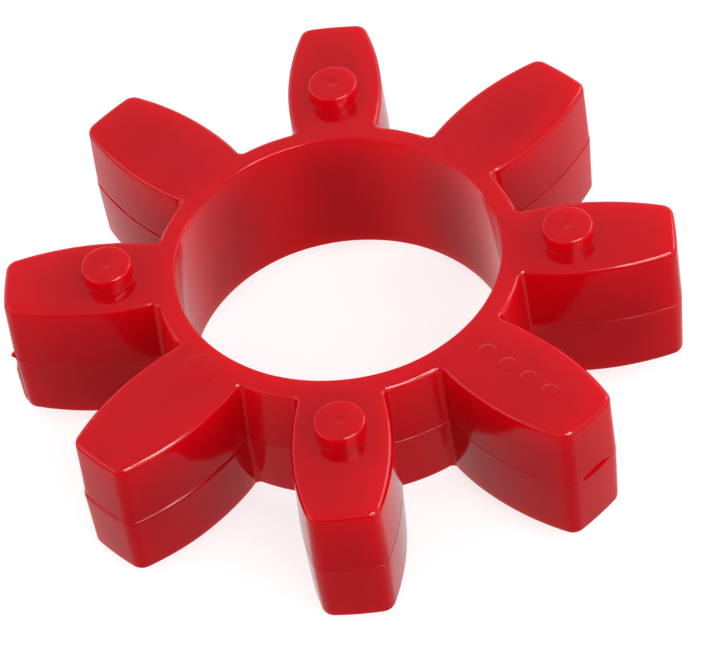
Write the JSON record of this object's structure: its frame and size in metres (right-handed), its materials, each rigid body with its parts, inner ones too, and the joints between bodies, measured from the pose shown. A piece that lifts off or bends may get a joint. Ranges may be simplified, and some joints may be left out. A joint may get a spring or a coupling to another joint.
{
  "type": "curved jaw coupling spider",
  "caption": "Round elastic insert for a curved-jaw shaft coupling: a flat ring with barrel-shaped radial legs and short stand-off pegs.",
  "frame": {"origin": "on the bore axis in the mould's parting plane, halfway through the width", "axes": "+Z along the bore axis, out of the upper face; +X along the middle of a leg with an upper peg"},
  "size_m": [0.08, 0.08, 0.0222],
  "materials": {
    "polyurethane": "glossy as-moulded red polyurethane, about 98 Shore A"
  },
  "bodies": {
    "root": {"spider": "polyurethane"}
  },
  "joints": []
}
